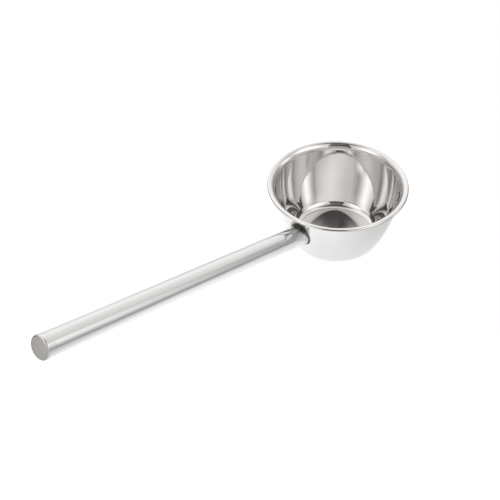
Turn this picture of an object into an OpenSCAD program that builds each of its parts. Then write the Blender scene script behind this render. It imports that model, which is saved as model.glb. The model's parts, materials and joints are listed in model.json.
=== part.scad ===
// Long-handled water ladle: a drawn round bowl with a flared and curled lip, and a tube handle.
// The handle rises from the bowl's wall, is welded to it round a saddle joint and ends in a pressed cap.
// Millimetres, +Z up. The origin is the middle of the bowl's flat base, and the handle runs towards -X.

/* [Bowl] */
// Diameter over the curled lip
rim_d = 145; // [138:0.5:160]
// Height from the base to the top of the lip
bowl_h = 70; // [62:0.5:80]
// Diameter of the flat base
foot_d = 75.5; // [68:0.5:84]
// Outer radius of the corner between base and wall
corner_r = 12; // [8:0.5:14]
// Radius of the wall's gentle outward curve
wall_arc_r = 172; // [110:1:400]
// Thickness of the bowl's sheet
sheet_t = 0.8; // [0.5:0.1:1.2]

/* [Lip] */
// Radius, on the underside, of the wide bend in which the wall starts to turn out
flare_r = 8.6; // [6:0.1:10]
// Radius, on the underside, of the tight bend that turns it on, over to level
lip_r = 3.8; // [3:0.1:5.5]
// How far the tight bend turns, in degrees
lip_turn = 38; // [20:1:50]
// Width of the level strip between the tight bend and the curl
brim_w = 0.2; // [0.1:0.1:2]
// Outer radius of the curled edge
curl_r = 1.9; // [1.5:0.1:2.4]
// How far the edge is curled round, in degrees
curl_turn = 200; // [150:5:220]

/* [Handle] */
// Outer diameter of the handle's tube
tube_d = 21.8; // [18:0.1:25]
// Wall thickness of the tube
tube_t = 0.6; // [0.5:0.1:1]
// Plan distance from the bowl's axis to the middle of the handle's end face
handle_reach = 386; // [250:1:450]
// Rise of the handle above level, in degrees
handle_rise = 18.5; // [12:0.5:22]
// Depth of the handle's axis under the top of the lip, measured below the lip's outer edge
handle_drop = 24.8; // [23:0.1:28]
// Width of the weld bead on each of the two faces that it joins
weld_leg = 1.4; // [0.8:0.1:2]

/* [End cap] */
// Length of the cap's collar, which stands on the tube's end
collar_l = 9; // [3:0.5:15]
// Radius round the cap's outer edge
cap_edge_r = 1.8; // [0.5:0.1:2]
// Thickness of the cap's sheet
cap_t = 0.8; // [0.5:0.1:1.2]
// Length of the spigot that plugs into the tube
spigot_l = 8; // [4:0.5:15]

/* [Fits] */
// Gap between the tube's saddle cut and the bowl's wall
root_gap = 0.05; // [0.03:0.01:0.2]
// Gap between the weld bead and the two faces under it
weld_gap = 0.04; // [0.03:0.01:0.1]
// Radial gap between the spigot and the tube's bore
spigot_gap = 0.05; // [0.02:0.01:0.1]

/* [Hidden] */
$fn = 144;

// How far a cutting solid runs past what it cuts
overrun = 1;
// Straight pieces that stand for each bend, for the wall's curve and for the curl
bend_steps = 12;
wall_steps = 16;
curl_steps = 20;
// Sections round the weld bead, and halvings in the search for each of its points
weld_sections = 72;
search_steps = 40;
// Height of the bead's crown, as a share of its leg on each face
crown_share = 0.62;

rim_r = rim_d / 2;
foot_r = foot_d / 2;
tube_r = tube_d / 2;
bore_r = tube_r - tube_t;

// Centres of the section's arcs, each as [radius from the bowl's axis, height]
corner_c = [foot_r, corner_r];
curl_c = [rim_r - curl_r, bowl_h - curl_r];
lip_c = [curl_c.x - brim_w, bowl_h - sheet_t - lip_r];
flare_c = lip_c + (lip_r - flare_r) * [-sin(lip_turn), cos(lip_turn)];

// The wall's arc touches the corner's arc from outside and the flare's arc from within.
// So its centre lies at a known distance from both of their centres, on the side of the bowl's axis.
corner_to_wall_c = wall_arc_r - corner_r;
flare_to_wall_c = wall_arc_r + flare_r;
span = norm(flare_c - corner_c);
along = (flare_c - corner_c) / span;
inward = [-along.y, along.x];
foot_of_c = (corner_to_wall_c ^ 2 - flare_to_wall_c ^ 2 + span ^ 2) / (2 * span);
wall_c = corner_c + along * foot_of_c + inward * sqrt(corner_to_wall_c ^ 2 - foot_of_c ^ 2);

// Directions, seen from the wall arc's centre, in which the wall starts above the corner and ends below the lip
wall_start_a = atan2(corner_c.y - wall_c.y, corner_c.x - wall_c.x);
wall_end_a = atan2(flare_c.y - wall_c.y, flare_c.x - wall_c.x);

// The handle's axis, run on, crosses the bowl's axis at this height and leaves it in this direction
axis_z = bowl_h - handle_drop - rim_r * tan(handle_rise);
handle_dir = [-cos(handle_rise), 0, sin(handle_rise)];
handle_up = [sin(handle_rise), 0, cos(handle_rise)];
handle_l = handle_reach / cos(handle_rise);
tube_end = handle_l - collar_l;

// Points on an arc round c, from angle a0 to a1, leaving out its first point if skip is 1
function arc(c, r, a0, a1, steps, skip = 0) =
    [for (i = [skip:steps]) let (a = a0 + (a1 - a0) * i / steps) c + r * [cos(a), sin(a)]];

// Radius of the wall's outer face at height z, in the stretch that the handle meets
function wall_r(z) = wall_c.x + sqrt(wall_arc_r ^ 2 - (z - wall_c.y) ^ 2);

// Point at distance s along the handle and rho from its axis, at angle a round it
function tube_point(rho, a, s) =
    [0, 0, axis_z] + s * handle_dir + rho * (cos(a) * [0, 1, 0] + sin(a) * handle_up);

// How far a point lies outside the bowl's wall, measured level
function outside(p) = norm([p.x, p.y]) - wall_r(p.z);

// Point of the line along the tube at rho and a that lies off the wall by the given distance
function meet(rho, a, off, low = 0, high = rim_r / cos(handle_rise), left = search_steps) =
    let (middle = (low + high) / 2, p = tube_point(rho, a, middle))
    left == 0 ? p
    : outside(p) > off ? meet(rho, a, off, low, middle, left - 1)
    : meet(rho, a, off, middle, high, left - 1);

// Section of the bead at angle a: its root, its toe on the wall, its crown and its toe on the tube
function bead_section(a) = [
    meet(tube_r + weld_gap, a, weld_gap),
    meet(tube_r + weld_leg, a, weld_gap),
    meet(tube_r + weld_leg * crown_share, a, weld_leg * crown_share),
    meet(tube_r + weld_gap, a, weld_leg)
];

// Places +Z on the handle's axis, with zero where that axis crosses the bowl's axis
module along_handle() {
    translate([0, 0, axis_z]) rotate([0, handle_rise - 90, 0]) children();
}

// Everything within the wall's curve, grown by a gap, up to the lip's bend
module inside_wall(gap) {
    rotate_extrude() intersection() {
        translate(wall_c) circle(r = wall_arc_r + gap, $fn = 720);
        square([rim_r, flare_c.y]);
    }
}

// Outline of the sheet: out along its lower face, round the curled edge and back along its upper face
module bowl() color([0.86, 0.86, 0.85]) rotate_extrude() polygon(concat(
    [[0, 0]],
    arc(corner_c, corner_r, -90, wall_start_a, bend_steps),
    arc(wall_c, wall_arc_r, wall_start_a, wall_end_a, wall_steps, 1),
    arc(flare_c, flare_r, 180 + wall_end_a, 90 + lip_turn, bend_steps, 1),
    arc(lip_c, lip_r, 90 + lip_turn, 90, bend_steps, 1),
    arc(curl_c, curl_r - sheet_t, 90, 90 - curl_turn, curl_steps),
    arc(curl_c, curl_r, 90 - curl_turn, 90, curl_steps),
    arc(lip_c, lip_r + sheet_t, 90, 90 + lip_turn, bend_steps),
    arc(flare_c, flare_r + sheet_t, 90 + lip_turn, 180 + wall_end_a, bend_steps, 1),
    arc(wall_c, wall_arc_r - sheet_t, wall_end_a, wall_start_a, wall_steps, 1),
    arc(corner_c, corner_r - sheet_t, wall_start_a, -90, bend_steps, 1),
    [[0, sheet_t]]
));

// Straight tube, cut to the curve of the bowl's wall at one end and square at the other
module handle_tube() color([0.82, 0.82, 0.81]) difference() {
    along_handle() cylinder(r = tube_r, h = tube_end);
    along_handle() translate([0, 0, -overrun]) cylinder(r = bore_r, h = tube_end + 2 * overrun);
    inside_wall(root_gap);
}

// Pressed cup that closes the tube: a face with a rounded edge, a collar and a spigot in the bore
module end_cap() color([0.66, 0.66, 0.65]) along_handle() translate([0, 0, tube_end])
    rotate_extrude() polygon(concat(
        [
            [0, collar_l - cap_t],
            [bore_r - spigot_gap - cap_t, collar_l - cap_t],
            [bore_r - spigot_gap - cap_t, -spigot_l],
            [bore_r - spigot_gap, -spigot_l],
            [bore_r - spigot_gap, 0],
            [tube_r, 0]
        ],
        arc([tube_r - cap_edge_r, collar_l - cap_edge_r], cap_edge_r, 0, 90, bend_steps),
        [[0, collar_l]]
    ));

// Bead of weld all round the saddle joint, swept along the line where the tube meets the wall
module joint_weld() color([0.5, 0.5, 0.49]) {
    sections = [for (i = [0:weld_sections - 1]) bead_section(360 * i / weld_sections)];
    corners = len(sections[0]);
    polyhedron(
        points = [for (section = sections) each section],
        faces = [
            for (i = [0:weld_sections - 1], k = [0:corners - 1])
            let (
                next_i = (i + 1) % weld_sections,
                next_k = (k + 1) % corners,
                a = i * corners + k,
                b = next_i * corners + k,
                c = next_i * corners + next_k,
                d = i * corners + next_k
            )
            each [[a, b, c], [a, c, d]]
        ]
    );
}

bowl();
handle_tube();
end_cap();
joint_weld();
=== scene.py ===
"""A polished steel water ladle: a drawn bowl, a long tube handle, its end cap and the weld between them.

Lengths are in metres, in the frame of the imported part: +Z up, the handle towards -X, zero under the bowl.
"""

import json
import math

import bpy
import numpy as np
from mathutils import Matrix, Vector


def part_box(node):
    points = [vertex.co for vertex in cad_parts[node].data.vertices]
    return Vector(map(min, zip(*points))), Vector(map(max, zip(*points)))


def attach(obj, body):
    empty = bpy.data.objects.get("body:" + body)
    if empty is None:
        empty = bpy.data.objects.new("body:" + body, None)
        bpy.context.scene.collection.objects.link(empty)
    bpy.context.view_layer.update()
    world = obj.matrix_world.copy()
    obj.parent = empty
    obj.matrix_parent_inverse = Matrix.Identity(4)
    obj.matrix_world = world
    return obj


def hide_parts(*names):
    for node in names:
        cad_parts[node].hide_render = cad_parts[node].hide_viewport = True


bl_info = {
    "name": "Long-handled water ladle",
    "version": (1, 0, 0),
    "blender": (4, 5, 0),
    "location": "View3D > Sidebar > Ladle",
    "description": "Builds a polished steel water ladle and the studio round it",
    "category": "Object",
}

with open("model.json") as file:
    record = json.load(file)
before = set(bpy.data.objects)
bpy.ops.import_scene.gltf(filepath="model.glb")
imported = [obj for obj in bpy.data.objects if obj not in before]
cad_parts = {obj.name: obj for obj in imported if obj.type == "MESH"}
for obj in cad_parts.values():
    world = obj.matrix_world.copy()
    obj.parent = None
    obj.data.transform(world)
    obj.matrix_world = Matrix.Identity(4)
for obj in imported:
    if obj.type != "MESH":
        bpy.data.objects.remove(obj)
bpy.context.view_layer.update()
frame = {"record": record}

MM = 0.001
BODY = "root"
BOWL_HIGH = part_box("bowl")[1]
GRIP = next(m for m in frame["record"]["mounts"] if m["name"] == "grip")


def to_linear(hex_colour):
    """The linear colour of an sRGB hex value such as #C0C0C0."""
    shares = [int(hex_colour[i:i + 2], 16) / 255 for i in (1, 3, 5)]
    return tuple(s / 12.92 if s <= 0.04045 else ((s + 0.055) / 1.055) ** 2.4 for s in shares)


def length(name, description, default):
    """A property for a size, with its default in millimetres."""
    return bpy.props.FloatProperty(
        name=name, description=description, default=default * MM, min=0.0, unit="LENGTH", precision=5)


def angle(name, description, default):
    """A property for an angle, with its default in degrees."""
    return bpy.props.FloatProperty(
        name=name, description=description, default=math.radians(default), unit="ROTATION")


def brightness(name, description, default):
    """A property for a brightness, where 1 is a white surface in full light."""
    return bpy.props.FloatProperty(
        name=name, description=description, default=default, min=0.0, soft_max=2.0)


def colour(name, description, default):
    """A property for a colour, with its default as an sRGB hex value."""
    return bpy.props.FloatVectorProperty(
        name=name, description=description, default=to_linear(default), min=0.0, max=1.0, subtype="COLOR")


def roughness(name, description, smoothest, roughest):
    """A property for the two limits between which a surface's roughness varies."""
    return bpy.props.FloatVectorProperty(
        name=name, description=description, size=2, default=(smoothest, roughest), min=0.0, max=1.0)


def faces_round(description, default):
    """A property for the number of faces round a piece."""
    return bpy.props.IntProperty(name="Faces round", description=description, default=default, min=24)


class LadleBowl(bpy.types.PropertyGroup):
    """Sizes and colours of the drawn bowl."""

    rim_r: length("Rim radius", "Outer radius of the curled lip", round(BOWL_HIGH.x / MM, 1))
    height: length("Height", "From the base to the top of the lip", round(BOWL_HIGH.z / MM, 1))
    foot_r: length("Base radius", "Radius of the flat base", 37.75)
    corner_r: length("Corner radius", "Outer radius of the corner between base and wall", 12)
    wall_arc_r: length("Wall curve", "Radius of the wall's gentle outward curve", 172)
    sheet_t: length("Sheet", "Thickness of the sheet", 0.8)
    flare_r: length("Wide bend", "Radius of the bend in which the wall starts to turn out", 8.6)
    lip_r: length("Tight bend", "Radius of the bend that turns the wall on, over to level", 3.8)
    lip_turn: angle("Tight bend's turn", "How far the tight bend turns", 38)
    brim_w: length("Brim", "Level strip between the tight bend and the curl", 0.2)
    curl_r: length("Curl radius", "Outer radius of the curled edge", 1.9)
    curl_turn: angle("Curl turn", "How far the edge is curled round", 200)
    around: faces_round("Faces round the bowl", 192)
    steel: colour("Steel", "Colour of the mirror-polished sheet", "#E0DFDF")
    rough: roughness("Roughness", "Roughness where the sheet is wiped clean, and in its smudges", 0.02, 0.055)
    line_pitch: length("Line pitch", "Distance between buffing lines, drawn coarser than the real 0.2", 0.9)
    line_l: length("Line length", "Length of a buffing line round the bowl", 30)
    line_h: length("Line height", "Height of the buffing lines, drawn with their pitch", 0.0012)
    wave_l: length("Wave length", "Length of the waves that drawing leaves in the sheet", 24)
    wave_h: length("Wave height", "Height of the waves", 0.06)
    smudge_l: length("Smudge", "Size of the wiped smudges", 22)
    mark_w: length("Dark band", "Width of the dark mark beside the weld", 6)
    mark: colour("Mark", "Colour of the darker band round the joint", "#6A6562")


class LadleHandle(bpy.types.PropertyGroup):
    """Sizes and colour of the tube handle."""

    tube_r: length("Tube radius", "Outer radius of the tube", GRIP["dims"]["r_mm"])
    tube_t: length("Tube wall", "Thickness of the tube's wall", 0.6)
    root_gap: length("Root gap", "Gap between the saddle cut and the bowl's wall", 0.05)
    around: faces_round("Faces round the tube and the cap", 96)
    steel: colour("Steel", "Colour of the polished tube", "#DBDCDD")
    rough: roughness("Roughness", "Roughness where the tube is wiped clean, and in its smudges", 0.08, 0.16)
    grain_w: length("Grain width", "Width of the belt's grain, drawn coarser than the real 0.1", 0.8)
    grain_l: length("Grain length", "Length of one streak of the grain", 45)
    grain_h: length("Grain height", "Height of the grain, drawn with its width", 0.005)
    smudge_l: length("Smudge", "Size of the wiped smudges", 18)


class LadleCap(bpy.types.PropertyGroup):
    """Sizes and colours of the pressed cap in the handle's free end."""

    collar_l: length("Collar", "Length of the collar outside the tube", 9)
    edge_r: length("Edge radius", "Radius round the cap's outer edge", 1.8)
    sheet_t: length("Sheet", "Thickness of the cap's sheet", 0.8)
    spigot_l: length("Spigot", "Length of the spigot in the tube's bore", 8)
    spigot_gap: length("Spigot gap", "Gap between the spigot and the bore", 0.05)
    dome_h: length("Dome", "Height of the end face's gentle dome", 0.3)
    collar: colour("Collar", "Colour of the polished collar", "#D9DADB")
    steel: colour("Face", "Colour of the dull end face", "#EEEDEC")
    blotch: colour("Blotches", "Colour of the duller blotches", "#D0CECB")
    collar_rough: roughness("Collar roughness", "Roughness of the polished collar", 0.14, 0.24)
    rough: roughness("Face roughness", "Roughness of the dull end face", 0.3, 0.46)
    blotch_l: length("Blotch", "Size of the blotches", 4)
    blotch_h: length("Blotch height", "Height of the pressed face's unevenness", 0.03)


class LadleWeld(bpy.types.PropertyGroup):
    """Sizes and colours of the weld bead round the joint."""

    leg: length("Leg", "Width of the bead on each of the two faces that it joins", 1.4)
    gap: length("Gap", "Gap between the bead and the faces under it", 0.04)
    ripple_pitch: length("Ripple pitch", "Distance from one ripple of the bead to the next", 1.1)
    ripple_h: length("Ripple height", "Height of the ripples", 0.09)
    steel: colour("Weld", "Colour of the darkened weld", "#4A4744")
    brushed: colour("Brushed", "Colour of the weld where the brush reached it", "#8E8C89")
    rough: roughness("Roughness", "Roughness of the brushed metal, and of the dark scale", 0.3, 0.5)
    scale_l: length("Scale", "Size of the patches of scale", 1.2)
    scale_h: length("Scale height", "Height of the scale", 0.04)


class LadleStage(bpy.types.PropertyGroup):
    """The floor, the light and the camera."""

    azimuth: angle("Azimuth", "Direction of the camera, zero where it looks along +Y", -48.721)
    elevation: angle("Elevation", "Height of the camera above level", 43.283)
    roll: angle("Roll", "Turn of the camera about its own line of sight", -0.847)
    distance: length("Distance", "From the camera to the point that it aims at", 1048.45)
    aim: bpy.props.FloatVectorProperty(
        name="Aim", description="Point that the camera aims at",
        default=(-109.514 * MM, 24.734 * MM, 40 * MM), subtype="TRANSLATION", unit="LENGTH")
    lens: bpy.props.FloatProperty(
        name="Lens", description="Focal length for a sensor 36 mm wide", default=75.669, min=1.0,
        unit="CAMERA")
    floor_w: length("Floor width", "Width of the roll of pale paper under the ladle", 480)
    floor_l: length("Floor length", "Length of the paper, which runs away from the camera", 6000)
    floor: colour("Floor", "Colour of the pale paper", "#F1F2F3")
    floor_white: brightness("Floor white", "Brightness that the paper adds where the eye sees it", 0.5)
    # The pool is painted light: a glow on the paper that only the steel's mirror images see
    floor_glow: brightness("Floor glow", "Brightness that the painted pool of light adds where steel mirrors it", 0.56)
    pool: bpy.props.FloatVectorProperty(
        name="Pool", description="Middle of the painted pool of light on the paper", size=2,
        default=(-154.8 * MM, 110.7 * MM), subtype="COORDINATES", unit="LENGTH")
    pool_light: colour("Pool light", "Colour of the brightness that the paper adds", "#FCFDFE")
    pool_r: length("Pool radius", "Distance at which the painted pool of light ends, across the line to the camera", 334)
    front: angle("Front", "Direction from the ladle to the camera's side of the studio, from +X", -140)
    light: colour("Light", "Colour of the studio's light, a little warm", "#FFFDFA")
    room: brightness("Room", "Brightness of the dark room round the studio", 0.1)


def arc(centre, radius, start, stop, steps, side=1.0):
    """Points along an arc in a section, as [radius, height], with the way that the surface faces at each.

    side is 1 where the surface faces away from the arc's centre, and -1 where it faces that centre.
    """
    turns = np.linspace(start, stop, steps + 1)
    out = np.stack([np.cos(turns), np.sin(turns)], axis=1)
    return np.asarray(centre) + radius * out, side * out


def line(start, stop, facing, steps=1):
    """Points along a straight stretch of a section, with the one way that it faces."""
    shares = np.linspace(0.0, 1.0, steps + 1)[:, None]
    points = np.asarray(start) * (1 - shares) + np.asarray(stop) * shares
    return points, np.tile(np.asarray(facing, float), (steps + 1, 1))


def join(*stretches):
    """One smooth stretch made of several that follow on from each other."""
    points = [stretches[0][0]] + [s[0][1:] for s in stretches[1:]]
    facing = [stretches[0][1]] + [s[1][1:] for s in stretches[1:]]
    return np.concatenate(points), np.concatenate(facing)


def lathe(stretch, around):
    """A stretch of a section turned round +Z: its points and facing, as rings."""
    turns = np.linspace(0.0, 2 * math.pi, around, endpoint=False)
    spin = np.stack([np.cos(turns), np.sin(turns)], axis=1)

    def ring(pairs):
        level = np.broadcast_to(pairs[:, None, 1:], (len(pairs), around, 1))
        return np.concatenate([pairs[:, None, :1] * spin, level], axis=2)

    return ring(stretch[0]), ring(stretch[1])


# Rings whose points agree to so many decimals are one ring, and a ring narrower than this is a single point
SAME_PLACE_DECIMALS = 8
POLE_WIDTH = 1e-9


def skin(name, stretches):
    """A closed mesh over stretches of rings, with the exact way that the surface faces at each corner.

    Each stretch is (points, facing), both shaped (rings, points round, 3). It starts on the ring where the
    one before it ends, and there is a sharp edge on that ring where the two face different ways.
    """
    around = stretches[0][0].shape[1]
    third = max(1, around // 3)
    vertices, first_of_ring, faces, normals = [], {}, [], []

    def ring_start(points):
        """Index of a ring's first vertex, and how far its next one is: 0 for a pole."""
        key = tuple(np.round(points[::third], SAME_PLACE_DECIMALS).ravel())
        if key not in first_of_ring:
            pole = np.ptp(points, axis=0).max() < POLE_WIDTH
            first_of_ring[key] = (len(vertices), 0 if pole else 1)
            vertices.extend(points[:1] if pole else points)
        return first_of_ring[key]

    for points, facing in stretches:
        starts = [ring_start(p) for p in points]
        for i in range(len(points) - 1):
            (a, a_step), (b, b_step) = starts[i], starts[i + 1]
            for j in range(around):
                k = (j + 1) % around
                face = [(a + j * a_step, facing[i][j]), (b + j * b_step, facing[i + 1][j]),
                        (b + k * b_step, facing[i + 1][k]), (a + k * a_step, facing[i][k])]
                if not a_step:
                    face.pop(3)
                elif not b_step:
                    face.pop(2)
                faces.append([corner[0] for corner in face])
                normals.append([corner[1] for corner in face])
    mid = next(i for i, f in enumerate(faces) if len(f) == 4)
    p = [np.asarray(vertices[v]) for v in faces[mid]]
    if np.dot(np.cross(p[2] - p[0], p[3] - p[1]), normals[mid][0]) < 0:
        faces = [f[::-1] for f in faces]
        normals = [n[::-1] for n in normals]
    mesh = bpy.data.meshes.new(name)
    mesh.from_pydata([tuple(v) for v in vertices], [], faces)
    mesh.shade_smooth()
    mesh.normals_split_custom_set([tuple(n) for face in normals for n in face])
    piece = bpy.data.objects.new(name, mesh)
    bpy.context.scene.collection.objects.link(piece)
    return piece


def finish_piece(piece, node, material):
    """Gives a piece its material, and puts it in the place of its CAD node."""
    piece.data.materials.append(material)
    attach(piece, BODY)
    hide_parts(node)


class BowlSection:
    """Centres and limits of the arcs that the bowl's section is drawn with, as [radius, height]."""

    def __init__(self, s):
        self.s = s
        self.corner_c = np.array([s.foot_r, s.corner_r])
        self.curl_c = np.array([s.rim_r - s.curl_r, s.height - s.curl_r])
        self.lip_c = np.array([self.curl_c[0] - s.brim_w, s.height - s.sheet_t - s.lip_r])
        back = np.array([-math.sin(s.lip_turn), math.cos(s.lip_turn)])
        self.flare_c = self.lip_c + (s.lip_r - s.flare_r) * back
        # The wall's arc touches the corner's from outside and the flare's from within
        corner_to_c = s.wall_arc_r - s.corner_r
        flare_to_c = s.wall_arc_r + s.flare_r
        step = self.flare_c - self.corner_c
        span = np.hypot(*step)
        along = step / span
        inward = np.array([-along[1], along[0]])
        foot = (corner_to_c ** 2 - flare_to_c ** 2 + span ** 2) / (2 * span)
        self.wall_c = self.corner_c + along * foot + inward * math.sqrt(corner_to_c ** 2 - foot ** 2)
        self.start = math.atan2(*(self.corner_c - self.wall_c)[::-1])
        self.end = math.atan2(*(self.flare_c - self.wall_c)[::-1])

    def wall_r(self, z):
        """Radius of the wall's outer face at height z."""
        return self.wall_c[0] + np.sqrt(self.s.wall_arc_r ** 2 - (z - self.wall_c[1]) ** 2)

    def outline(self):
        """The sheet's whole section: out along its lower face, round the curl and back along the upper."""
        s, t = self.s, self.s.sheet_t
        top, down = math.pi / 2, -math.pi / 2
        curl_end, lip_end = top - s.curl_turn, top + s.lip_turn
        flare_start = math.pi + self.end
        edge_c = self.curl_c + (s.curl_r - t / 2) * np.array([math.cos(curl_end), math.sin(curl_end)])
        return join(
            line((0, 0), (s.foot_r, 0), (0, -1), steps=6),
            arc(self.corner_c, s.corner_r, down, self.start, steps=16),
            arc(self.wall_c, s.wall_arc_r, self.start, self.end, steps=30),
            arc(self.flare_c, s.flare_r, flare_start, lip_end, steps=12, side=-1),
            arc(self.lip_c, s.lip_r, lip_end, top, steps=10, side=-1),
            line((self.lip_c[0], s.height - t), (self.curl_c[0], s.height - t), (0, -1)),
            arc(self.curl_c, s.curl_r - t, top, curl_end, steps=20, side=-1),
            arc(edge_c, t / 2, curl_end - math.pi, curl_end, steps=6),
            arc(self.curl_c, s.curl_r, curl_end, top, steps=28),
            line((self.curl_c[0], s.height), (self.lip_c[0], s.height), (0, 1)),
            arc(self.lip_c, s.lip_r + t, top, lip_end, steps=14),
            arc(self.flare_c, s.flare_r + t, lip_end, flare_start, steps=18),
            arc(self.wall_c, s.wall_arc_r - t, self.end, self.start, steps=40, side=-1),
            arc(self.corner_c, s.corner_r - t, self.start, down, steps=24, side=-1),
            line((s.foot_r, t), (0, t), (0, 1), steps=6),
        )


# Times that the search for the place where a line meets the wall is halved
HALVINGS = 40


class HandleLine:
    """The handle's axis, and points round it."""

    def __init__(self, handle, bowl):
        self.axis = Vector(GRIP["axis"]).normalized()
        self.across = Vector((0, 1, 0))
        self.up = self.across.cross(self.axis)
        grip = Vector(GRIP["pos_m"])
        # The grip ends where the cap's collar starts
        self.collar_s = grip.x / self.axis.x
        self.origin = grip - self.axis * self.collar_s
        self.frame = Matrix((self.up, self.across, self.axis)).transposed()
        self.tube_r = handle.tube_r
        self.section = BowlSection(bowl)

    def point(self, rho, turns, s):
        """Points at distance s along the axis and rho from it, at angles round it."""
        away = np.cos(turns)[:, None] * np.array(self.across) + np.sin(turns)[:, None] * np.array(self.up)
        s, rho = [np.broadcast_to(value, len(turns))[:, None] for value in (s, rho)]
        return np.array(self.origin) + s * np.array(self.axis) + rho * away

    def meet(self, rho, turns, off):
        """Distance along the axis at which lines beside it are the given distance off the bowl's wall."""
        low, high = np.zeros(len(turns)), np.full(len(turns), self.section.s.rim_r / -self.axis.x)
        for _ in range(HALVINGS):
            middle = (low + high) / 2
            p = self.point(rho, turns, middle)
            out = np.hypot(p[:, 0], p[:, 1]) - self.section.wall_r(p[:, 2]) > off
            low, high = np.where(out, low, middle), np.where(out, middle, high)
        return middle


def turns_round(count):
    """Equal angles round a circle."""
    return np.linspace(0.0, 2 * math.pi, count, endpoint=False)


def node(tree, kind, links=(), **settings):
    """Adds a node with its settings, and links its inputs: (input, another node's output or a value)."""
    made = tree.nodes.new(kind)
    for name, value in settings.items():
        setattr(made, name, value)
    for socket, value in links:
        if isinstance(value, bpy.types.NodeSocket):
            tree.links.new(value, made.inputs[socket])
        else:
            made.inputs[socket].default_value = value
    return made


def metal(name, colour, roughness):
    """A material with a metal's shader and its usual roughness. Returns it with its tree and the shader."""
    material = bpy.data.materials.new(name)
    material.use_nodes = True
    tree = material.node_tree
    shader = tree.nodes["Principled BSDF"]
    shader.inputs["Base Color"].default_value = (*colour, 1.0)
    shader.inputs["Metallic"].default_value = 1.0
    shader.inputs["Roughness"].default_value = roughness
    return material, tree, shader


def in_handle_frame(tree, way, scale=(1.0, 1.0, 1.0)):
    """Places on the surface in the handle's own frame: +Z runs along it, and zero is on the bowl's axis."""
    place = node(tree, "ShaderNodeTexCoord").outputs["Object"]
    return node(tree, "ShaderNodeMapping", [
        ("Vector", place), ("Location", tuple(way.origin)), ("Rotation", tuple(way.frame.to_euler())),
        ("Scale", scale)], vector_type="TEXTURE").outputs[0]


def off_axis(tree, place):
    """Distance of a place from the Z axis of its frame, and its direction from there."""
    flat = node(tree, "ShaderNodeVectorMath", [(0, place), (1, (1.0, 1.0, 0.0))],
                operation="MULTIPLY").outputs[0]
    distance = node(tree, "ShaderNodeVectorMath", [(0, flat)], operation="LENGTH").outputs["Value"]
    direction = node(tree, "ShaderNodeVectorMath", [(0, flat)], operation="NORMALIZE").outputs[0]
    return distance, direction


# Limits between which nearly all values of a noise texture lie, and those of two multiplied together
NOISE_SPREAD = (0.3, 0.7)
SMUDGE_SPREAD = (0.1, 0.45)

# The dark band's ragged edge: how many tongues it has in its reach, and as shares of that reach how deep they
# are and where the mark starts and stops fading
MARK_TONGUES = 1.2
MARK_DEPTH = 0.9
MARK_FADE = (-0.35, 0.55)
# How much narrower the mark is for each unit of height below the top of the handle
MARK_NARROWS = 0.35
# Roughness that the mark adds where it is darkest
MARK_ROUGH = 0.3
# How strong the mark is inside the bowl, against outside
MARK_INSIDE = 0.25


def dark_band_at_joint(tree, distance, reach, way):
    """A darker colour in a band round the joint with the handle: wide over the top of the handle, ragged
    where it ends.
    """
    place = node(tree, "ShaderNodeTexCoord").outputs["Object"]
    ragged = node(tree, "ShaderNodeTexNoise", [
        ("Vector", place), ("Scale", MARK_TONGUES / reach), ("Detail", 4.0)]).outputs[0]
    distance = node(tree, "ShaderNodeMath", [(0, ragged), (1, -MARK_DEPTH * reach), (2, distance)],
                    operation="MULTIPLY_ADD").outputs[0]
    up = node(tree, "ShaderNodeSeparateXYZ", [(0, in_handle_frame(tree, way))]).outputs["X"]
    distance = node(tree, "ShaderNodeMath", [(0, up), (1, -MARK_NARROWS), (2, distance)],
                    operation="MULTIPLY_ADD").outputs[0]
    top = MARK_NARROWS * way.tube_r
    start, stop = [share * reach - top for share in MARK_FADE]
    return node(tree, "ShaderNodeMapRange", [
        ("Value", distance), ("From Min", start), ("From Max", stop), ("To Min", 1.0), ("To Max", 0.0)],
        interpolation_type="SMOOTHSTEP").outputs[0]


# The handle's side of the bowl starts at this share of the base's radius from the axis
HANDLE_SIDE = -0.5
# A place is wholly inside or outside the bowl where it faces the axis, or away from it, by more than this
EDGE_ON = 0.1
# How far the buffed rings spread light across themselves, and the turn from along them to across them
RING_SPREAD = 0.8
QUARTER_TURN = 0.25


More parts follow.
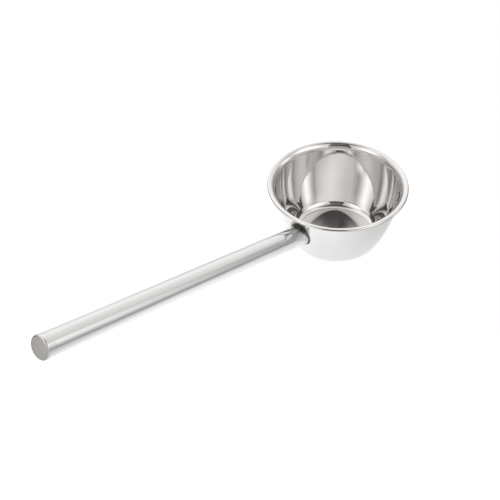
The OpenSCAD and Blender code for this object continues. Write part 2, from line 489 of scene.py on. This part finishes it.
def mirror_polished_sheet(s, way):
    """Stainless steel sheet, drawn and then buffed to a mirror on a turning wheel.

    The eye gets sharp mirror images, which darken where the sheet mirrors itself. They shiver a little, from
    waves that the drawing leaves in the wall and from faint rings that the buffing leaves round it. Wiped
    smudges soften them, and the sheet's colour is darker in a band round the joint, widest over the handle's
    top.
    The real polishing lines lie about 0.2 mm apart, too fine to show here, so they are drawn coarser.
    """
    material, tree, shader = metal("Mirror_polished_stainless_sheet", s.steel, 0.04)
    place = node(tree, "ShaderNodeTexCoord").outputs["Object"]
    distance, direction = off_axis(tree, place)
    height = node(tree, "ShaderNodeSeparateXYZ", [(0, place)]).outputs["Z"]
    run = node(tree, "ShaderNodeMath", [(0, distance), (1, height)], operation="ADD").outputs[0]
    run = node(tree, "ShaderNodeMath", [(0, run), (1, s.line_pitch)], operation="DIVIDE").outputs[0]
    run = node(tree, "ShaderNodeCombineXYZ", [("Z", run)]).outputs[0]
    # Each line is some 30 mm long, so it changes slowly round the bowl and fast across the wall
    along = node(tree, "ShaderNodeVectorMath", [(0, direction), ("Scale", s.rim_r / s.line_l)],
                 operation="SCALE").outputs[0]
    along = node(tree, "ShaderNodeVectorMath", [(0, along), (1, run)], operation="ADD").outputs[0]
    lines = node(tree, "ShaderNodeTexNoise", [
        ("Vector", along), ("Scale", 1.0), ("Detail", 2.0)]).outputs[0]
    wave = node(tree, "ShaderNodeTexNoise", [
        ("Vector", place), ("Scale", 1 / s.wave_l), ("Detail", 1.0)]).outputs[0]
    smudge = node(tree, "ShaderNodeTexNoise", [
        ("Vector", place), ("Scale", 1 / s.smudge_l), ("Detail", 4.0), ("Distortion", 0.6)]).outputs[0]
    both = node(tree, "ShaderNodeMath", [(0, lines), (1, smudge)], operation="MULTIPLY").outputs[0]

    # The sheet's colour turns darker in a band round the joint with the handle, widest over the handle's top
    rho, _ = off_axis(tree, in_handle_frame(tree, way))
    rho = node(tree, "ShaderNodeMath", [(0, rho), (1, way.tube_r)], operation="SUBTRACT").outputs[0]
    mark = dark_band_at_joint(tree, rho, s.mark_w, way)
    # Only on the handle's side, and faint inside the bowl
    x = node(tree, "ShaderNodeSeparateXYZ", [(0, place)]).outputs["X"]
    near = node(tree, "ShaderNodeMath", [(0, x), (1, HANDLE_SIDE * s.foot_r)],
                operation="LESS_THAN").outputs[0]
    mark = node(tree, "ShaderNodeMath", [(0, mark), (1, near)], operation="MULTIPLY").outputs[0]
    facing = node(tree, "ShaderNodeNewGeometry").outputs["Normal"]
    facing = node(tree, "ShaderNodeVectorMath", [(0, facing), (1, direction)],
                  operation="DOT_PRODUCT").outputs["Value"]
    outside = node(tree, "ShaderNodeMapRange", [
        ("Value", facing), ("From Min", -EDGE_ON), ("From Max", EDGE_ON),
        ("To Min", MARK_INSIDE), ("To Max", 1.0)]).outputs[0]
    mark = node(tree, "ShaderNodeMath", [(0, mark), (1, outside)], operation="MULTIPLY").outputs[0]

    steel = node(tree, "ShaderNodeMix", [
        ("Factor", mark), ("A", (*s.steel, 1.0)), ("B", (*s.mark, 1.0))], data_type="RGBA").outputs["Result"]
    tree.links.new(steel, shader.inputs["Base Color"])
    rough = node(tree, "ShaderNodeMapRange", [
        ("Value", both), ("From Min", SMUDGE_SPREAD[0]), ("From Max", SMUDGE_SPREAD[1]),
        ("To Min", s.rough[0]), ("To Max", s.rough[1])]).outputs[0]
    rough = node(tree, "ShaderNodeMath", [(0, mark), (1, MARK_ROUGH), (2, rough)],
                 operation="MULTIPLY_ADD").outputs[0]
    tree.links.new(rough, shader.inputs["Roughness"])
    waves = node(tree, "ShaderNodeBump", [("Height", wave), ("Distance", s.wave_h)]).outputs[0]
    rings = node(tree, "ShaderNodeBump", [
        ("Height", lines), ("Distance", s.line_h), ("Normal", waves)]).outputs[0]
    tree.links.new(rings, shader.inputs["Normal"])
    # The rings scatter light across themselves, up and down the wall, and hardly along themselves
    shader.inputs["Anisotropic"].default_value = RING_SPREAD
    shader.inputs["Anisotropic Rotation"].default_value = QUARTER_TURN
    round_axis = node(tree, "ShaderNodeTangent", direction_type="RADIAL", axis="Z").outputs[0]
    tree.links.new(round_axis, shader.inputs["Tangent"])
    return material


# Heights between which the handle meets the wall, as shares of the height of the lip's wide bend
JOINT_HEIGHTS = (0.45, 0.95)


def polished_tube(s, way, bowl):
    """Stainless steel tube, polished lengthwise on a belt.

    The eye gets long bright and dark bands, whose edges are soft and streaked along the tube by the belt's
    grain, and dull dark steel close to the weld. The real grain is about 0.1 mm wide, and is drawn coarser to
    show.
    """
    material, tree, shader = metal("Belt_polished_stainless_tube", s.steel, 0.1)
    fine = in_handle_frame(tree, way, (s.grain_w, s.grain_w, s.grain_l))
    grain = node(tree, "ShaderNodeTexNoise", [("Vector", fine), ("Scale", 1.0), ("Detail", 3.0)]).outputs[0]
    place = node(tree, "ShaderNodeTexCoord").outputs["Object"]
    smudge = node(tree, "ShaderNodeTexNoise", [
        ("Vector", place), ("Scale", 1 / s.smudge_l), ("Detail", 4.0), ("Distortion", 0.6)]).outputs[0]
    both = node(tree, "ShaderNodeMath", [(0, grain), (1, smudge)], operation="MULTIPLY").outputs[0]
    rough = node(tree, "ShaderNodeMapRange", [
        ("Value", both), ("From Min", SMUDGE_SPREAD[0]), ("From Max", SMUDGE_SPREAD[1]),
        ("To Min", s.rough[0]), ("To Max", s.rough[1])]).outputs[0]

    # How far a place lies off the bowl's wall, taken as a cone between the two heights
    low, high = [share * way.section.flare_c[1] for share in JOINT_HEIGHTS]
    slope = (way.section.wall_r(high) - way.section.wall_r(low)) / (high - low)
    cone_r = way.section.wall_r(low) - slope * low
    distance, _ = off_axis(tree, place)
    height = node(tree, "ShaderNodeSeparateXYZ", [(0, place)]).outputs["Z"]
    off = node(tree, "ShaderNodeMath", [(0, height), (1, -slope), (2, distance)],
               operation="MULTIPLY_ADD").outputs[0]
    off = node(tree, "ShaderNodeMath", [(0, off), (1, cone_r)], operation="SUBTRACT").outputs[0]
    # The tube's colour turns darker in a band next to the joint with the bowl, widest over the tube's top
    mark = dark_band_at_joint(tree, off, bowl.mark_w, way)
    steel = node(tree, "ShaderNodeMix", [
        ("Factor", mark), ("A", (*s.steel, 1.0)), ("B", (*bowl.mark, 1.0))],
        data_type="RGBA").outputs["Result"]
    tree.links.new(steel, shader.inputs["Base Color"])
    rough = node(tree, "ShaderNodeMath", [(0, mark), (1, MARK_ROUGH), (2, rough)],
                 operation="MULTIPLY_ADD").outputs[0]
    tree.links.new(rough, shader.inputs["Roughness"])
    bump = node(tree, "ShaderNodeBump", [("Height", grain), ("Distance", s.grain_h)]).outputs[0]
    tree.links.new(bump, shader.inputs["Normal"])
    return material


# Limits of the noise between which the cap's blotches appear, and how strong their colour gets
BLOTCH_SPREAD = (0.3, 0.75)
BLOTCH_MOST = 0.5


def dull_pressed_steel(s, way):
    """Stainless steel pressed into a cap: its face is left as rolled, its collar is polished with the tube.

    The eye gets a matt, slightly blotched grey disc that turns shiny round its edge.
    """
    material, tree, shader = metal("Pressed_stainless_cap", s.steel, 0.4)
    place = in_handle_frame(tree, way)
    height = node(tree, "ShaderNodeSeparateXYZ", [(0, place)]).outputs["Z"]
    face_s = way.collar_s + s.collar_l
    face = node(tree, "ShaderNodeMapRange", [
        ("Value", height), ("From Min", face_s - s.edge_r), ("From Max", face_s)],
        interpolation_type="SMOOTHSTEP").outputs[0]
    blotch = node(tree, "ShaderNodeTexNoise", [
        ("Vector", place), ("Scale", 1 / s.blotch_l), ("Detail", 5.0)]).outputs[0]
    dull, shiny = [node(tree, "ShaderNodeMapRange", [
        ("Value", blotch), ("From Min", NOISE_SPREAD[0]), ("From Max", NOISE_SPREAD[1]),
        ("To Min", low), ("To Max", high)]).outputs[0] for low, high in (s.rough, s.collar_rough)]
    rough = node(tree, "ShaderNodeMix", [("Factor", face), ("A", shiny), ("B", dull)],
                 data_type="FLOAT").outputs[0]
    tree.links.new(rough, shader.inputs["Roughness"])
    shade = node(tree, "ShaderNodeMapRange", [
        ("Value", blotch), ("From Min", BLOTCH_SPREAD[0]), ("From Max", BLOTCH_SPREAD[1]),
        ("To Min", 0.0), ("To Max", BLOTCH_MOST)]).outputs[0]
    steel = node(tree, "ShaderNodeMix", [
        ("Factor", shade), ("A", (*s.steel, 1.0)), ("B", (*s.blotch, 1.0))],
        data_type="RGBA").outputs["Result"]
    steel = node(tree, "ShaderNodeMix", [("Factor", face), ("A", (*s.collar, 1.0)), ("B", steel)],
                 data_type="RGBA").outputs["Result"]
    tree.links.new(steel, shader.inputs["Base Color"])
    bump = node(tree, "ShaderNodeBump", [("Height", blotch), ("Distance", s.blotch_h)]).outputs[0]
    tree.links.new(bump, shader.inputs["Normal"])
    return material


# Limits of the noise between which dark scale gives way to brushed metal
BRUSH_SPREAD = (0.42, 0.66)


def darkened_weld(s):
    """Stainless weld metal, cooled in ripples, brushed but not polished.

    The eye gets a thin dark line round the joint, with glints where the brush reached the ripples' crests.
    """
    material, tree, shader = metal("Heat_darkened_weld", s.steel, 0.38)
    place = node(tree, "ShaderNodeTexCoord").outputs["Object"]
    scale = node(tree, "ShaderNodeTexNoise", [
        ("Vector", place), ("Scale", 1 / s.scale_l), ("Detail", 4.0)]).outputs[0]
    share = node(tree, "ShaderNodeMapRange", [
        ("Value", scale), ("From Min", BRUSH_SPREAD[0]), ("From Max", BRUSH_SPREAD[1])]).outputs[0]
    steel = node(tree, "ShaderNodeMix", [
        ("Factor", share), ("A", (*s.steel, 1.0)), ("B", (*s.brushed, 1.0))],
        data_type="RGBA").outputs["Result"]
    tree.links.new(steel, shader.inputs["Base Color"])
    rough = node(tree, "ShaderNodeMapRange", [
        ("Value", scale), ("From Min", NOISE_SPREAD[0]), ("From Max", NOISE_SPREAD[1]),
        ("To Min", s.rough[1]), ("To Max", s.rough[0])]).outputs[0]
    tree.links.new(rough, shader.inputs["Roughness"])
    bump = node(tree, "ShaderNodeBump", [("Height", scale), ("Distance", s.scale_h)]).outputs[0]
    tree.links.new(bump, shader.inputs["Normal"])
    return material


# The pool of painted light on the paper is this much longer towards the camera than it is wide, and even over
# this share
POOL_SHAPE = (1.13, 1.0, 1.0)
POOL_CORE = 0.46


def pale_paper(s):
    """Matt white paper. It scatters light evenly, and keeps the ladle's soft shadow.

    A pool of painted light glows on it behind the handle, seen only in mirror images, so that the steel
    mirrors it as white there, and duller further off.
    """
    material = bpy.data.materials.new("White_paper_with_painted_pool")
    material.use_nodes = True
    tree = material.node_tree
    tree.nodes.clear()
    matt = node(tree, "ShaderNodeBsdfDiffuse", [("Color", (*s.floor, 1.0))])
    place = node(tree, "ShaderNodeTexCoord").outputs["Object"]
    place = node(tree, "ShaderNodeMapping", [
        ("Vector", place), ("Location", (*s.pool, 0.0)), ("Rotation", (0.0, 0.0, s.front)),
        ("Scale", POOL_SHAPE)], vector_type="TEXTURE").outputs[0]
    off = node(tree, "ShaderNodeVectorMath", [(0, place)], operation="LENGTH").outputs["Value"]
    # Painted light: a glow on the paper, fading out from the pool's middle, added only where steel mirrors it
    lit = node(tree, "ShaderNodeMapRange", [
        ("Value", off), ("From Min", POOL_CORE * s.pool_r), ("From Max", s.pool_r),
        ("To Min", s.floor_glow), ("To Max", 0.0)], interpolation_type="SMOOTHSTEP").outputs[0]
    path = node(tree, "ShaderNodeLightPath").outputs
    mirrored = node(tree, "ShaderNodeMath", [(0, path["Is Glossy Ray"]), (1, path["Is Transmission Ray"])],
                    operation="MAXIMUM").outputs[0]
    level = node(tree, "ShaderNodeMath", [(0, mirrored), (1, lit)], operation="MULTIPLY").outputs[0]
    level = node(tree, "ShaderNodeMath", [(0, path["Is Camera Ray"]), (1, s.floor_white), (2, level)],
                 operation="MULTIPLY_ADD").outputs[0]
    glow = node(tree, "ShaderNodeEmission", [("Color", (*s.pool_light, 1.0)), ("Strength", level)])
    both = node(tree, "ShaderNodeAddShader", [(0, matt.outputs[0]), (1, glow.outputs[0])])
    node(tree, "ShaderNodeOutputMaterial", [("Surface", both.outputs[0])])
    return material


# Soft parts of the studio, as polished steel mirrors them. Each has its direction from the camera's side, how
# far it reaches round from there and in height above level, as (from, full from, full to, to), all in
# degrees, and the brightness that it adds. Both sides of its direction are alike, so a first pair of -20 and
# -10 means that the light has no inner edge, and a last pair of 190 and 200 that it has no outer one. In the
# same way, heights of -105 and -102 reach straight down, and 100 and 110 straight up.
STUDIO = {
    "soft panels beside the camera": (-4.5, (18.5, 21.5, 62, 117), (5, 28, 58, 69), 0.58),
    "bright middle of the left panel": (-57, (-20, -10, -6, 37), (26, 28, 41, 49), 1.24),
    "bright middle of the right panel": (57, (-20, -10, -8, 56), (25, 28, 41, 55), 1.2),
    "glow above the panels": (-5, (23, 55, 88, 147), (40, 52, 60, 79), 0.41),
    "low lights beside the table": (0, (18, 21, 70, 104), (-18, -10, 6, 31), 0.52),
    "low light on the right": (95, (-20, -10, 0, 21), (-24, 16, 26, 32), 0.93),
    "floor beside the table": (0, (19, 30, 109, 124), (-105, -102, -19, -10), 0.34),
    "ceiling over the camera": (5, (-20, -10, 16, 29), (40, 54, 60, 82), 0.09),
    "front of the table": (0, (-20, -10, 17, 22), (-105, -102, 27, 36), 0.42),
    "backdrop": (-178, (-20, -10, 79.5, 81.5), (6, 25, 72, 80), 0.17),
    "light on the backdrop": (-178, (-16, 3, 54, 103), (-3, 24, 46, 67), 0.66),
    "light low on the backdrop": (0, (115, 174, 190, 200), (-105, -102, -5, 40), 0.94),
    "light high on the backdrop": (-157, (-20, -10, -6, 76), (23, 36, 55, 79), 0.37),
    "pale ceiling behind": (0, (77, 90, 190, 200), (52, 67, 100, 110), 0.59),
}


def studio_light(s):
    """The light of a small photo studio, by direction. What the eye sees directly is plain white."""
    world = bpy.data.worlds.new("studio")
    world.use_nodes = True
    tree = world.node_tree
    tree.nodes.clear()
    way = node(tree, "ShaderNodeTexCoord").outputs["Generated"]
    height = node(tree, "ShaderNodeSeparateXYZ", [(0, way)]).outputs["Z"]
    height = node(tree, "ShaderNodeMath", [(0, height)], operation="ARCSINE").outputs[0]

    def turn_from(centre):
        """Angle in plan between the direction looked in and the given one."""
        flat = node(tree, "ShaderNodeVectorRotate", [
            ("Vector", way), ("Angle", -s.front - math.radians(centre))], rotation_type="Z_AXIS").outputs[0]
        parts = node(tree, "ShaderNodeSeparateXYZ", [(0, flat)]).outputs
        turn = node(tree, "ShaderNodeMath", [(0, parts["Y"]), (1, parts["X"])],
                    operation="ARCTAN2").outputs[0]
        return node(tree, "ShaderNodeMath", [(0, turn)], operation="ABSOLUTE").outputs[0]

    def window(value, limits):
        """1 between the two middle limits, and 0 outside the outer ones."""
        start, full_start, full_end, end = [math.radians(limit) for limit in limits]
        edges = ((start, full_start), (end, full_end))
        rise, fall = [node(tree, "ShaderNodeMapRange", [
            ("Value", value), ("From Min", outer), ("From Max", inner)],
            interpolation_type="SMOOTHSTEP").outputs[0] for outer, inner in edges]
        return node(tree, "ShaderNodeMath", [(0, rise), (1, fall)], operation="MULTIPLY").outputs[0]

    turn = {centre: turn_from(centre) for centre, _, _, _ in STUDIO.values()}
    total = s.room
    for centre, turns, heights, level in STUDIO.values():
        sides = [(0, window(turn[centre], turns)), (1, window(height, heights))]
        shape = node(tree, "ShaderNodeMath", sides, operation="MULTIPLY").outputs[0]
        total = node(tree, "ShaderNodeMath", [(0, shape), (1, level), (2, total)],
                     operation="MULTIPLY_ADD").outputs[0]
    seen = node(tree, "ShaderNodeLightPath").outputs["Is Camera Ray"]
    strength = node(tree, "ShaderNodeMix", [("Factor", seen), ("A", total), ("B", 1.0)],
                    data_type="FLOAT").outputs[0]
    colour = node(tree, "ShaderNodeMix", [
        ("Factor", seen), ("A", (*s.light, 1.0)), ("B", (1.0, 1.0, 1.0, 1.0))],
        data_type="RGBA").outputs["Result"]
    light = node(tree, "ShaderNodeBackground", [("Color", colour), ("Strength", strength)])
    node(tree, "ShaderNodeOutputWorld", [("Surface", light.outputs[0])])
    return world


class LADLE_OT_bowl(bpy.types.Operator):
    """Builds the drawn bowl with its curled lip"""

    bl_idname = "ladle.bowl"
    bl_label = "Bowl"

    def execute(self, context):
        s = context.scene.ladle_bowl
        piece = skin("bowl_sheet", [lathe(BowlSection(s).outline(), s.around)])
        way = HandleLine(context.scene.ladle_handle, s)
        finish_piece(piece, "bowl", mirror_polished_sheet(s, way))
        return {"FINISHED"}


# Rings of faces along the tube, close enough that its grain and its bands stay straight
RINGS_ALONG_TUBE = 25


class LADLE_OT_handle(bpy.types.Operator):
    """Builds the tube handle, cut to the curve of the bowl's wall"""

    bl_idname = "ladle.handle"
    bl_label = "Handle"

    def execute(self, context):
        s = context.scene.ladle_handle
        way = HandleLine(s, context.scene.ladle_bowl)
        turns = turns_round(s.around)
        bore_r = s.tube_r - s.tube_t
        shares = np.linspace(0.0, 1.0, RINGS_ALONG_TUBE)

        def along(rho, facing):
            """Rings along the tube at a distance from its axis, from the wall to the cap's collar."""
            start = way.meet(rho, turns, s.root_gap)
            rings = [way.point(rho, turns, start * (1 - share) + way.collar_s * share) for share in shares]
            away = way.point(1.0, turns, 0.0) - np.array(way.origin)
            return np.array(rings), np.array([away * facing] * len(rings))

        outside, inside = along(s.tube_r, 1.0), along(bore_r, -1.0)
        level = np.tile(np.array(way.axis), (2, s.around, 1))
        piece = skin("handle_pipe", [
            outside,
            (np.array([outside[0][-1], inside[0][-1]]), level),
            (inside[0][::-1], inside[1][::-1]),
            (np.array([inside[0][0], outside[0][0]]), -level),
        ])
        finish_piece(piece, "handle_tube", polished_tube(s, way, context.scene.ladle_bowl))
        return {"FINISHED"}


class LADLE_OT_cap(bpy.types.Operator):
    """Builds the pressed cap that closes the handle's free end"""

    bl_idname = "ladle.cap"
    bl_label = "End cap"

    def execute(self, context):
        s, handle = context.scene.ladle_cap, context.scene.ladle_handle
        way = HandleLine(handle, context.scene.ladle_bowl)
        tube_r, around = handle.tube_r, handle.around
        spigot_r = tube_r - handle.tube_t - s.spigot_gap
        inside_r = spigot_r - s.sheet_t
        face_r = tube_r - s.edge_r
        collar_l, floor = s.collar_l, s.collar_l - s.sheet_t
        # The dome runs on smoothly into the rounded edge, and the edge into the collar
        dome_r = (face_r ** 2 + s.dome_h ** 2) / (2 * s.dome_h)
        edge_from = math.acos(face_r / dome_r)
        edge_r = s.edge_r / (1 - math.cos(edge_from))
        edge_c = (tube_r - edge_r, collar_l - dome_r + (dome_r - edge_r) * math.sin(edge_from))
        stretches = [
            join(
                arc((0, collar_l - dome_r), dome_r, math.pi / 2, edge_from, steps=8),
                arc(edge_c, edge_r, edge_from, 0, steps=12),
                line((tube_r, edge_c[1]), (tube_r, 0), (1, 0), steps=6),
            ),
            line((tube_r, 0), (spigot_r, 0), (0, -1)),
            line((spigot_r, 0), (spigot_r, -s.spigot_l), (1, 0)),
            line((spigot_r, -s.spigot_l), (inside_r, -s.spigot_l), (0, -1)),
            line((inside_r, -s.spigot_l), (inside_r, floor), (-1, 0)),
            line((inside_r, floor), (0, floor), (0, -1), steps=3),
        ]
        piece = skin("pressed_cap", [lathe(stretch, around) for stretch in stretches])
        place = way.frame.to_4x4()
        place.translation = way.origin + way.axis * way.collar_s
        piece.data.transform(place)
        finish_piece(piece, "end_cap", dull_pressed_steel(s, way))
        return {"FINISHED"}


# The bead's crown stands this share of its leg above the line between its toes
CROWN_SHARE = 0.12
RINGS_OVER_BEAD = 11
# Points round the bead for each of the tube's faces, enough to show its ripples
BEAD_POINTS = 4


class LADLE_OT_weld(bpy.types.Operator):
    """Builds the weld bead round the saddle joint"""

    bl_idname = "ladle.weld"
    bl_label = "Weld"

    def execute(self, context):
        s, handle = context.scene.ladle_weld, context.scene.ladle_handle
        way = HandleLine(handle, context.scene.ladle_bowl)
        turns = turns_round(BEAD_POINTS * handle.around)
        ripples = round(2 * math.pi * handle.tube_r / s.ripple_pitch)
        crown = CROWN_SHARE * s.leg + s.ripple_h * np.abs(np.sin(ripples * turns / 2))
        rings = []
        # From the toe on the wall over the crown to the toe on the tube
        for share in np.linspace(0.0, 1.0, RINGS_OVER_BEAD):
            lift = math.sin(math.pi * share) * crown
            rho = s.gap + (s.leg - s.gap) * (1 - share) + lift
            off = s.gap + (s.leg - s.gap) * share + lift
            rings.append(way.point(handle.tube_r + rho, turns, way.meet(handle.tube_r + rho, turns, off)))
        root = way.point(handle.tube_r + s.gap, turns, way.meet(handle.tube_r + s.gap, turns, s.gap))
        rings = np.array(rings)
        slope = np.gradient(rings, axis=0)
        run = np.roll(rings, -1, axis=1) - np.roll(rings, 1, axis=1)
        facing = np.cross(slope, run)
        facing /= np.linalg.norm(facing, axis=2, keepdims=True)
        facing *= np.sign(np.sum(facing * (rings - root), axis=2, keepdims=True))
        wall_side = np.tile(np.array(way.axis), (2, len(turns), 1))
        away = way.point(1.0, turns, 0.0) - np.array(way.origin)
        piece = skin("weld_bead", [
            (rings, facing),
            (np.array([rings[-1], root]), np.array([-away] * 2)),
            (np.array([root, rings[0]]), -wall_side),
        ])
        finish_piece(piece, "joint_weld", darkened_weld(s))
        return {"FINISHED"}


# Width in mm of the sensor that the lens is given for
SENSOR_W = 36
# The paper lies this far under the base, so that the two never share a face
PAPER_GAP = 0.2 * MM
# The polished inside mirrors its own far ends many times over
MIRRORINGS = 12


class LADLE_OT_stage(bpy.types.Operator):
    """Builds the floor, the light and the camera"""

    bl_idname = "ladle.stage"
    bl_label = "Stage"

    def execute(self, context):
        s, scene = context.scene.ladle_stage, context.scene
        scene.view_settings.view_transform = "Standard"
        scene.cycles.glossy_bounces = MIRRORINGS
        camera = bpy.data.objects.new("camera", bpy.data.cameras.new("camera"))
        scene.collection.objects.link(camera)
        scene.camera = camera
        camera.data.sensor_width = SENSOR_W
        camera.data.lens = s.lens
        turn, tilt = s.azimuth, s.elevation
        level = Vector((math.cos(turn), math.sin(turn), 0))
        back = Vector((math.sin(turn) * math.cos(tilt), -math.cos(turn) * math.cos(tilt), math.sin(tilt)))
        up = back.cross(level)
        right = level * math.cos(s.roll) + up * math.sin(s.roll)
        camera.rotation_mode = "QUATERNION"
        camera.rotation_quaternion = Matrix((right, back.cross(right), back)).transposed().to_quaternion()
        camera.location = Vector(s.aim) + back * s.distance

        away = Vector((math.cos(s.front), math.sin(s.front), 0))
        side = Vector((-away.y, away.x, 0))
        half_l, half_w = away * s.floor_l / 2, side * s.floor_w / 2
        middle = Vector((s.aim[0], s.aim[1], -PAPER_GAP))
        corners = [middle + half_l * a + half_w * b for a, b in ((-1, -1), (1, -1), (1, 1), (-1, 1))]
        mesh = bpy.data.meshes.new("floor")
        mesh.from_pydata([tuple(c) for c in corners], [], [(0, 1, 2, 3)])
        floor = bpy.data.objects.new("floor", mesh)
        scene.collection.objects.link(floor)
        floor.data.materials.append(pale_paper(s))
        scene.world = studio_light(s)
        return {"FINISHED"}


class LADLE_PT_panel(bpy.types.Panel):
    """Lists the ladle's pieces and their sizes"""

    bl_label = "Water ladle"
    bl_idname = "LADLE_PT_panel"
    bl_space_type = "VIEW_3D"
    bl_region_type = "UI"
    bl_category = "Ladle"

    def draw(self, context):
        for name, operator in STEPS:
            box = self.layout.box()
            box.operator(operator)
            settings = getattr(context.scene, name)
            for prop in settings.bl_rna.properties:
                if prop.identifier not in ("rna_type", "name"):
                    box.prop(settings, prop.identifier)


GROUPS = {"ladle_bowl": LadleBowl, "ladle_handle": LadleHandle, "ladle_cap": LadleCap,
          "ladle_weld": LadleWeld, "ladle_stage": LadleStage}
STEPS = (("ladle_stage", "ladle.stage"), ("ladle_bowl", "ladle.bowl"), ("ladle_handle", "ladle.handle"),
         ("ladle_cap", "ladle.cap"), ("ladle_weld", "ladle.weld"))
CLASSES = (*GROUPS.values(), LADLE_OT_bowl, LADLE_OT_handle, LADLE_OT_cap, LADLE_OT_weld, LADLE_OT_stage,
           LADLE_PT_panel)


def register():
    for made in CLASSES:
        bpy.utils.register_class(made)
    for name, group in GROUPS.items():
        setattr(bpy.types.Scene, name, bpy.props.PointerProperty(type=group))


def unregister():
    for name in GROUPS:
        delattr(bpy.types.Scene, name)
    for made in reversed(CLASSES):
        bpy.utils.unregister_class(made)


def main():
    """Registers the add-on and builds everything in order."""
    register()
    for _, operator in STEPS:
        group, name = operator.split(".")
        getattr(getattr(bpy.ops, group), name)()


if __name__ == "__main__":
    main()
